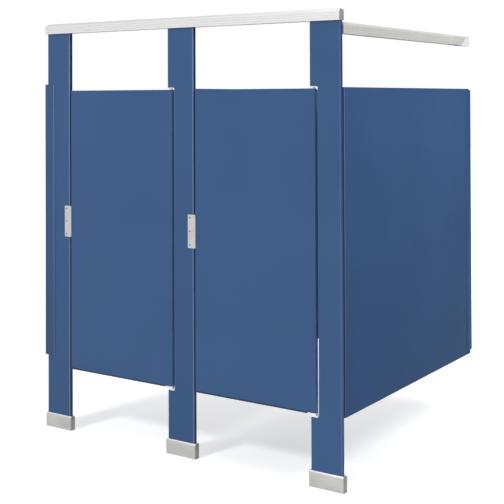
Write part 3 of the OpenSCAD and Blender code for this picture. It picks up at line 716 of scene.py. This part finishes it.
# %% [markdown]
# The head is turned from a domed outline. The socket's rings are pulled in and out six times round,
# and the pin stands in the middle. Below the head a short shank reaches into the sheet.

# %% Screw heads
HEAD_R = 0.00425
SHANK_R = 0.0020
LOBE_DEPTH = 0.13


def button_screw():
    """Points and faces of one screw, head up, seated on z = 0."""
    r = HEAD_R
    shank = [(SHANK_R, -0.009), (SHANK_R, -0.0002)]
    dome = [(r * 0.97, -0.0001), (r, 0.00025), (r * 0.985, 0.0008), (r * 0.9, 0.00135), (r * 0.74, 0.0018)]
    rim = [(r * 0.56, 0.00205), (r * 0.47, 0.00212), (r * 0.42, 0.00205)]
    socket = [(r * 0.40, 0.0009), (r * 0.18, 0.00085)]
    pin = [(r * 0.15, 0.0009), (r * 0.13, 0.0017), (r * 0.09, 0.00182)]
    # how much of the lobes each ring of rim and socket has, by its number in the whole outline
    lobed = dict(enumerate((0.35, 0.8, 1.0, 1.0, 0.2), len(shank + dome)))

    def shape(angle, i):
        return 1 + LOBE_DEPTH * math.cos(6 * angle) * lobed.get(i, 0.0)

    return skin(turned(shank + dome + rim + socket + pin, 36, shape))


print("one screw:", len(button_screw()[1]), "faces")

# %% [markdown]
# All the screws of one node become one object, as the node they take the place of is one object.
# Each is turned by another angle, because nobody lines up the sockets of fitted screws.

# %% Set the screws
FIRST_TURN, NEXT_TURN = 0.37, 1.31    # radians


def set_screws(name, node, body, metal):
    """One object with a screw on every place of a node."""
    parts = []
    one = button_screw()
    for k, (seat, direction) in enumerate(screw_places(node)):
        verts = placed(one[0], seat, direction, FIRST_TURN + NEXT_TURN * k)
        parts.append((verts, one[1]))
    verts, faces = joined(parts)
    obj = build(name, verts, faces, metal, 50)
    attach(obj, body)
    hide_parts(node)
    print(name, len(parts))


for group in ("keeper", "channel", "bracket", "headrail"):
    metal = dark_screw if group == "keeper" else screw_metal
    set_screws(group + "_button_screws", group + "_screws", "frame", metal)
for hand in ("left", "right"):
    set_screws("door_" + hand + "_button_screws", "door_" + hand + "_screws", "door_" + hand, screw_metal)

# %% [markdown]
# ## The shoes
# A shoe is a sleeve of stainless sheet that hides the levelling feet. It is slid down the pilaster
# to the floor. Its top is folded in towards the pilaster, with a sloping rim that catches the
# light. A bevelled box would give the outside but not the rim, so it is made from rounded
# rectangles: up the outside, over the rim and down the inside.

# %% A rounded rectangle


def round_rect(width, depth, radius, z, steps=8):
    """One ring: a rounded rectangle about the origin at height z."""
    ring = []
    for cx, cy, start in ((1, 1, 0), (-1, 1, 90), (-1, -1, 180), (1, -1, 270)):
        for k in range(steps + 1):
            angle = math.radians(start + 90 * k / steps)
            x = cx * (width / 2 - radius) + radius * math.cos(angle)
            y = cy * (depth / 2 - radius) + radius * math.sin(angle)
            ring.append(Vector((x, y, z)))
    return ring


print("points in one ring:", len(round_rect(0.1, 0.1, 0.01, 0)))

# %% [markdown]
# The rings follow the sheet round: two for the eased lower edge, up the side, over the fold and the
# slope to the lip, then in to the pilaster and back down inside. The slope and the lip get a paler,
# glossier finish than the sides; the paler colour is a painted highlight where the rim catches the light.

# %% Shoes
SHOE_SHEET = 0.0012
RIM_FOLD = 0.0011       # height over which the side turns into the sloping rim
POST_GAP = 0.0005       # room round the pilaster


def shoe_rings(size, hole, rim):
    """Up the outside, over the rim, down the hole and back down inside the sheet."""
    inside = (size.x - 2 * SHOE_SHEET, size.y - 2 * SHOE_SHEET, 0.0068)
    top, slope_from = size.z, size.z - rim
    lip_x, lip_y = size.x - 2 * rim, size.y - 2 * rim
    return [round_rect(*inside, 0),
        round_rect(size.x - 0.0006, size.y - 0.0006, 0.0077, 0),
        round_rect(size.x, size.y, 0.008, 0.0004),
        round_rect(size.x, size.y, 0.008, slope_from - RIM_FOLD),
        round_rect(size.x - 0.0004, size.y - 0.0004, 0.0079, slope_from - RIM_FOLD * 0.4),
        round_rect(size.x - 0.0012, size.y - 0.0012, 0.0075, slope_from),
        round_rect(lip_x + 0.0012, lip_y + 0.0012, 0.0066, top - 0.0008),
        round_rect(lip_x, lip_y, 0.0062, top - 0.0002),
        round_rect(lip_x - 0.0008, lip_y - 0.0002, 0.0060, top),
        round_rect(*hole, 0.0060, top - 0.0003),
        round_rect(*hole, 0.0060, top - 0.0014),
        round_rect(lip_x, lip_y, 0.0052, top - 0.0017),
        round_rect(*inside, slope_from - 0.0008),
        round_rect(*inside, 0)]


for hand in ("left", "middle", "right"):
    low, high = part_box("shoe_" + hand)
    post_low, post_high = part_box("pilaster_" + hand)
    size, post, mid = high - low, post_high - post_low, (low + high) / 2
    rim = (size.y - post.y) / 2 - POST_GAP
    hole = (post.x + POST_GAP, post.y + POST_GAP)
    verts, faces = skin(shoe_rings(size, hole, rim), capped=False)
    shoe = build("stainless_shoe_" + hand, verts, faces, [shoe_steel, shoe_rim_highlight], 40)
    # the faces of the rim get the paler finish, a painted highlight
    for face in shoe.data.polygons:
        if face.center.z > size.z - rim - RIM_FOLD * 0.7 and face.normal.z > 0.2:
            face.material_index = 1
    shoe.data.transform(Matrix.Translation((mid.x, mid.y, low.z)))
    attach(shoe, "frame")
    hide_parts("shoe_" + hand)
    print("shoe", hand, "rim", round(rim, 4), "wide")

# %% [markdown]
# ## The sliding bolts
# The bolt is a flat bar with an eased tip, and its knob sticks out through the case so that cold
# or wet fingers can draw it. A bevelled block would do for the bar, but one made of rings can also
# taper at the tip, where it has to find the keeper.

# %% The bar


def bar(low, high, ease):
    """A bar between two corners with eased long edges and a tapered tip at its low X end."""
    mid = (low + high) / 2
    size = high - low
    tip = [(low.x, 0.70), (low.x + ease * 0.6, 0.88), (low.x + ease * 2.2, 1.0)]
    tail = [(high.x - ease * 0.5, 1.0), (high.x, 0.94)]
    rings = []
    for x, grow in tip + tail:
        ring = round_rect(size.y * grow, size.z * (0.5 + 0.5 * grow), ease, 0, 4)
        rings.append([Vector((x, mid.y + p.x, mid.z + p.y)) for p in ring])
    return skin(rings)


print("bar ready")

# %% [markdown]
# The knob is turned: a collar at the case, a narrower grip and a dished end. Its flutes are a wave
# on the radius, only at the rings of the grip.

# %% The knob
KNOB_R = 0.0119
FLUTES = 24


def knob(length):
    """A turned knob with a collar, a fluted grip and a dished top, standing on z = 0."""
    r, grip = KNOB_R, KNOB_R * 0.80
    collar = [(grip * 0.9, 0), (r * 0.97, 0.0002), (r, 0.0008), (r, 0.0020), (r * 0.95, 0.0026)]
    collar.append((grip, 0.0030))
    sides = [(grip * 0.98, length * 0.55), (grip * 1.02, length - 0.0016), (grip * 0.97, length - 0.0004)]
    dish = [(grip * 0.86, length), (grip * 0.66, length - 0.0001), (grip * 0.5, length - 0.0009)]
    middle = [(grip * 0.1, length - 0.0012)]
    fluted = dict(enumerate((0.035, 0.045, 0.03), len(collar)))

    def shape(angle, i):
        return 1 + fluted.get(i, 0) * math.cos(FLUTES * angle)

    return skin(turned(collar + sides + dish + middle, 96, shape))


print("knob ready")

# %% [markdown]
# The bar lies inside the case, a stem joins it to the knob, and the three become one bolt that
# slides with the latch.

# %% Bolts on the doors
BAR_OFF_DOOR = 0.0038
BAR_THICK = 0.0066
BAR_TALL = 0.016
KNOB_FROM_END = 0.024    # from the case's far end to the middle of the knob
STEM_R = 0.004
for hand in ("left", "right"):
    low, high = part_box("latch_bolt_" + hand)
    case_low, case_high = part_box("latch_case_" + hand)
    # the bar lies a little off the door's face, and the knob ends at the node's far side
    mid_z = (low.z + high.z) / 2
    bar_low = Vector((low.x, case_low.y + BAR_OFF_DOOR, mid_z - BAR_TALL / 2))
    bar_high = Vector((high.x, bar_low.y + BAR_THICK, mid_z + BAR_TALL / 2))
    knob_at = Vector((case_high.x - KNOB_FROM_END, case_high.y + 0.0005, mid_z))
    length = high.y - knob_at.y
    stem = turned([(STEM_R, bar_high.y - 0.0005 - knob_at.y), (STEM_R, 0.0005)], 32)
    parts = [bar(bar_low, bar_high, 0.0012)]
    for verts, faces in (skin(stem), knob(length)):
        parts.append((placed(verts, knob_at, (0, 1, 0)), faces))
    verts, faces = joined(parts)
    bolt = build("sliding_bolt_" + hand, verts, faces, casting, 40)
    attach(bolt, "latch_" + hand)
    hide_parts("latch_bolt_" + hand)
    print("bolt", hand, "knob length", round(length, 4))

# %% [markdown]
# ## The coat hooks
# A washroom door's hook is a casting: a backplate, a post with a rubber buffer that stops the door
# before it hits the partition, and a hook that curls up below it to a ball. The hook is a tube
# swept along a path. A curve object could be it too, but here each ring has a radius of its own,
# so the tube is thicker at its root, as a casting would be.

# %% A swept tube


def swept(path, radii, count=20):
    """A tube round a path in the YZ plane, of as many radii as the path has points."""
    rings = []
    for i, (p, r) in enumerate(zip(path, radii)):
        a, b = path[max(i - 1, 0)], path[min(i + 1, len(path) - 1)]
        ahead = (b - a).normalized()
        side = Vector((1, 0, 0))
        up = side.cross(ahead)
        ring = [p + side * (r * math.cos(t)) + up * (r * math.sin(t))
            for t in (2 * math.pi * k / count for k in range(count))]
        rings.append(ring)
    return skin(rings)


print("swept tube ready")

# %% [markdown]
# The plate has a domed front, and its foot flares where the post grows out of it. The rubber buffer
# is turned as well, with a groove behind its nose.

# %% The hook's pieces
PLATE_T = 0.003
HOOK_OUT = 0.014         # straight part of the hook, from the door's face
HOOK_CURL = 0.013        # radius of its curl
HOOK_ROOT = 0.020        # how far below the plate's middle it starts
BALL_R = 0.0054


def backplate(centre, width, height):
    """A plate with a domed front, lying on the door's face about its centre."""
    w, h, r = width, height, 0.008
    rings = [round_rect(w, h, r, 0), round_rect(w, h, r, PLATE_T * 0.45),
        round_rect(w - 0.0008, h - 0.0008, r - 0.0004, PLATE_T * 0.75),
        round_rect(w - 0.0026, h - 0.0026, r - 0.0013, PLATE_T * 0.95),
        round_rect(w - 0.006, h - 0.006, r - 0.003, PLATE_T)]
    verts, faces = skin(rings)
    return [centre + Vector((v.x, v.z, v.y)) for v in verts], faces


def hook_post(at, reach):
    """The post that carries the buffer, waisted, with a foot on the plate."""
    foot = [(0.0092, PLATE_T * 0.9), (0.0078, PLATE_T + 0.0008), (0.0064, PLATE_T + 0.003)]
    neck = [(0.0058, PLATE_T + 0.008), (0.0056, reach * 0.6), (0.0060, reach - 0.0004), (0.0056, reach)]
    verts, faces = skin(turned(foot + neck, 40))
    return placed(verts, at, (0, 1, 0)), faces


def hook_curl(root):
    """The hook itself: straight out from its root, up round a quarter turn, and a ball at its end."""
    path = [root + Vector((0, y, 0)) for y in (0.0026, 0.004, 0.006, 0.009, HOOK_OUT)]
    radii = [0.0058, 0.0050, 0.0043, 0.0040, 0.0039]
    for k in range(1, 13):
        t = math.radians(90 * k / 12)
        out, up = HOOK_CURL * math.sin(t), HOOK_CURL - HOOK_CURL * math.cos(t)
        path.append(root + Vector((0, HOOK_OUT + out, up)))
        radii.append(0.0039 - 0.0004 * k / 12)
    round_it = [math.radians(a) for a in range(8, 180, 12)]
    ball = turned([(BALL_R * math.sin(a), -BALL_R * math.cos(a)) for a in round_it], 28)
    verts, faces = skin(ball)
    return [swept(path, radii), (placed(verts, path[-1] + Vector((0, 0, 0.0006)), (0, 0, 1)), faces)]


def rubber_buffer(at, length):
    """A turned buffer with a groove that lets its nose give way."""
    base = [(0.0066, 0), (0.0088, 0.0002), (0.009, 0.0010), (0.009, length * 0.42)]
    groove = [(0.0082, length * 0.50), (0.0082, length * 0.56)]
    nose = [(0.0089, length * 0.64), (0.0082, length * 0.82), (0.0064, length * 0.95)]
    tip = [(0.0038, length * 0.995), (0.001, length)]
    verts, faces = skin(turned(base + groove + nose + tip, 40))
    return placed(verts, at, (0, 1, 0)), faces


print("hook pieces ready")

# %% [markdown]
# The frame gives the place and reach of hook and buffer. The casting and the rubber stay separate
# pieces, as they are made of different stuff, and both swing with the door.

# %% Coat hooks on the doors
for hand in ("left", "right"):
    low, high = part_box("coat_hook_" + hand)
    buffer_low, buffer_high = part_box("hook_bumper_" + hand)
    centre = Vector(((low.x + high.x) / 2, low.y, (low.z + high.z) / 2))
    post_at = Vector((centre.x, low.y, (buffer_low.z + buffer_high.z) / 2))
    reach = buffer_low.y - low.y
    parts = [backplate(centre, high.x - low.x, high.z - low.z), hook_post(post_at, reach)]
    parts += hook_curl(centre - Vector((0, 0, HOOK_ROOT)))
    verts, faces = joined(parts)
    hook = build("cast_coat_hook_" + hand, verts, faces, casting, 45)
    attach(hook, "door_" + hand)
    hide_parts("coat_hook_" + hand)
    verts, faces = rubber_buffer(post_at + Vector((0, reach, 0)), buffer_high.y - buffer_low.y)
    pad = build("hook_buffer_" + hand, verts, faces, rubber, 45)
    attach(pad, "door_" + hand)
    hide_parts("hook_bumper_" + hand)
    print("coat hook", hand, "reaches", round(reach, 4))

# %% [markdown]
# ## The keepers' bumper strips
# The strip of rubber in the keeper's lip softens the blow when a door falls shut. It has fine ribs
# along its length, so it presses easily. Bump could suggest the ribs, but the strip's end shows
# its true outline, so a wavy one is extruded upright.

# %% Bumper strips
RIBS = 4
RIB_DEPTH = 0.0006
STRIP_WIDE = 0.0052
STRIP_INSET = 0.001     # from the keeper's edge
STEPS = RIBS * 8        # eight points to a rib
low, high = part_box("keeper_bumpers")
strips = []
for hand in ("left", "right"):
    keeper_low, keeper_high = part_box("keeper_" + hand)
    x1 = keeper_high.x - STRIP_INSET
    x0 = x1 - STRIP_WIDE
    outline = [(x0, low.y), (x1, low.y)]
    for k in range(STEPS + 1):
        x = x1 - (x1 - x0) * k / STEPS
        wave = 0.5 - 0.5 * math.cos(2 * math.pi * RIBS * k / STEPS)
        outline.append((x, high.y - RIB_DEPTH + RIB_DEPTH * wave))
    rings = [[Vector((x, y, z)) for x, y in outline] for z in (low.z, high.z)]
    strips.append(skin(rings))
verts, faces = joined(strips)
strip = build("ribbed_bumper_strips", verts, faces, rubber, 35)
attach(strip, "frame")
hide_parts("keeper_bumpers")
print("bumper strips", len(strips))

# %% [markdown]
# ## The floor
# The object stands on a plain pale floor, which is lit like everything else and keeps the object's
# soft shadow. It glows a little where the camera sees it, so that it comes out near white without
# more lamps, and the glow grows with distance, where the lamps no longer reach, so that no horizon
# shows. Polished metal sees a little of that glow too.

# %% Floor
FLOOR = 30.0                      # from the middle to each side
FLOOR_GREY = (0.80, 0.80, 0.80)
NEAR, FAR = 3.5, 11.0             # the glow grows between these distances
NEAR_GLOW, FAR_GLOW = 0.452, 0.85
METAL_SEES = 0.30
floor_mesh = bpy.data.meshes.new("floor")
corners = [(-FLOOR, -FLOOR, 0), (FLOOR, -FLOOR, 0), (FLOOR, FLOOR, 0), (-FLOOR, FLOOR, 0)]
floor_mesh.from_pydata(corners, [], [(0, 1, 2, 3)])
floor = bpy.data.objects.new("floor", floor_mesh)
bpy.context.scene.collection.objects.link(floor)
floor.location.z = -0.0003        # just below the feet
floor_mat, tree, shader, place = finish("pale_floor", FLOOR_GREY, 0.9, spec=0.0)
rays = tree.nodes.new("ShaderNodeLightPath")
glow = tree.nodes.new("ShaderNodeEmission")
glow.inputs["Color"].default_value = (1, 1, 1, 1)
reach = tree.nodes.new("ShaderNodeVectorMath")
reach.operation = "LENGTH"
tree.links.new(place.outputs["Object"], reach.inputs[0])
far_off = remap(tree, reach.outputs["Value"], NEAR, FAR, NEAR_GLOW, FAR_GLOW)
gleam = times(tree, rays.outputs["Is Glossy Ray"], METAL_SEES)
strength = maths(tree, "ADD", times(tree, rays.outputs["Is Camera Ray"], far_off), gleam)
tree.links.new(strength, glow.inputs["Strength"])
both = tree.nodes.new("ShaderNodeAddShader")
tree.links.new(shader.outputs[0], both.inputs[0])
tree.links.new(glow.outputs[0], both.inputs[1])
tree.links.new(both.outputs[0], tree.nodes["Material Output"].inputs["Surface"])
floor_mesh.materials.append(floor_mat)
print("floor laid")

# %% [markdown]
# ## The world
# The world is white wherever the camera or a polished surface looks at it, and dimmer as a lamp,
# so colours render as written. A real room is never white all round: it has a darker corner on the
# back right, behind the end of the row. Polished surfaces mirror that corner, which is what gives
# the metal its contrast. A picture of a studio could stand in for the room, but one darker side is
# enough for plain metal.

# %% World
AMBIENT = 0.40                    # the world's strength as a lamp
DARK_WAY = (0.559, 0.829, 0.0)    # points to the darker corner
CORNER = 0.15                     # how bright that corner is in reflections
world = bpy.data.worlds.new("studio")
bpy.context.scene.world = world
world.use_nodes = True
tree = world.node_tree
background = tree.nodes["Background"]
background.inputs["Color"].default_value = (1, 1, 1, 1)
rays = tree.nodes.new("ShaderNodeLightPath")
seen = maths(tree, "MAXIMUM", rays.outputs["Is Camera Ray"], rays.outputs["Is Glossy Ray"])
seen = maths(tree, "MAXIMUM", seen, rays.outputs["Is Transmission Ray"])
direction = tree.nodes.new("ShaderNodeTexCoord")
towards = tree.nodes.new("ShaderNodeVectorMath")
towards.operation = "DOT_PRODUCT"
towards.inputs[1].default_value = DARK_WAY
tree.links.new(direction.outputs["Generated"], towards.inputs[0])
mirrored = remap(tree, towards.outputs["Value"], 0.35, 0.9, 1.0, CORNER)
darker = times(tree, rays.outputs["Is Glossy Ray"], maths(tree, "SUBTRACT", mirrored, 1.0))
strength = times(tree, remap(tree, seen, 0.0, 1.0, AMBIENT, 1.0), maths(tree, "ADD", darker, 1.0))
tree.links.new(strength, background.inputs["Strength"])
print("world made")

# %% [markdown]
# ## The lamps
# Large square lamps give the soft studio light of a catalogue picture. The key stands far off at
# the front left, so its light hardly changes over the object. A fill from the upper right lights
# the end panel from the top down. A weak one overhead and one behind open up the shadows. The two
# fills are kept out of reflections, where their outlines would show on the gloss.

# %% Lamps


def soft_lamp(name, at, look, size, power):
    """A square area lamp that looks at a point."""
    data = bpy.data.lights.new(name, "AREA")
    data.shape = "SQUARE"
    data.size = size
    data.energy = power
    lamp = bpy.data.objects.new(name, data)
    bpy.context.scene.collection.objects.link(lamp)
    lamp.location = at
    lamp.rotation_euler = (Vector(look) - Vector(at)).to_track_quat("-Z", "Y").to_euler()
    return lamp


soft_lamp("key", (-3.5, -14.0, 13.8), (0, 0, 0.8), size=3.0, power=1490)
right_fill = soft_lamp("right_fill", (3.6, 1.3, 4.0), (0.9, 0.8, 1.5), size=1.6, power=86)
right_fill.visible_glossy = False
soft_lamp("top", (0.5, -0.5, 6.0), (0.5, 0.3, 1.0), size=4.0, power=60)
back_fill = soft_lamp("back_fill", (-2.5, 8.0, 4.5), (0, 0.7, 1.0), size=4.0, power=160)
back_fill.visible_glossy = False
bpy.context.scene.view_settings.view_transform = "Standard"
print("lamps lit")
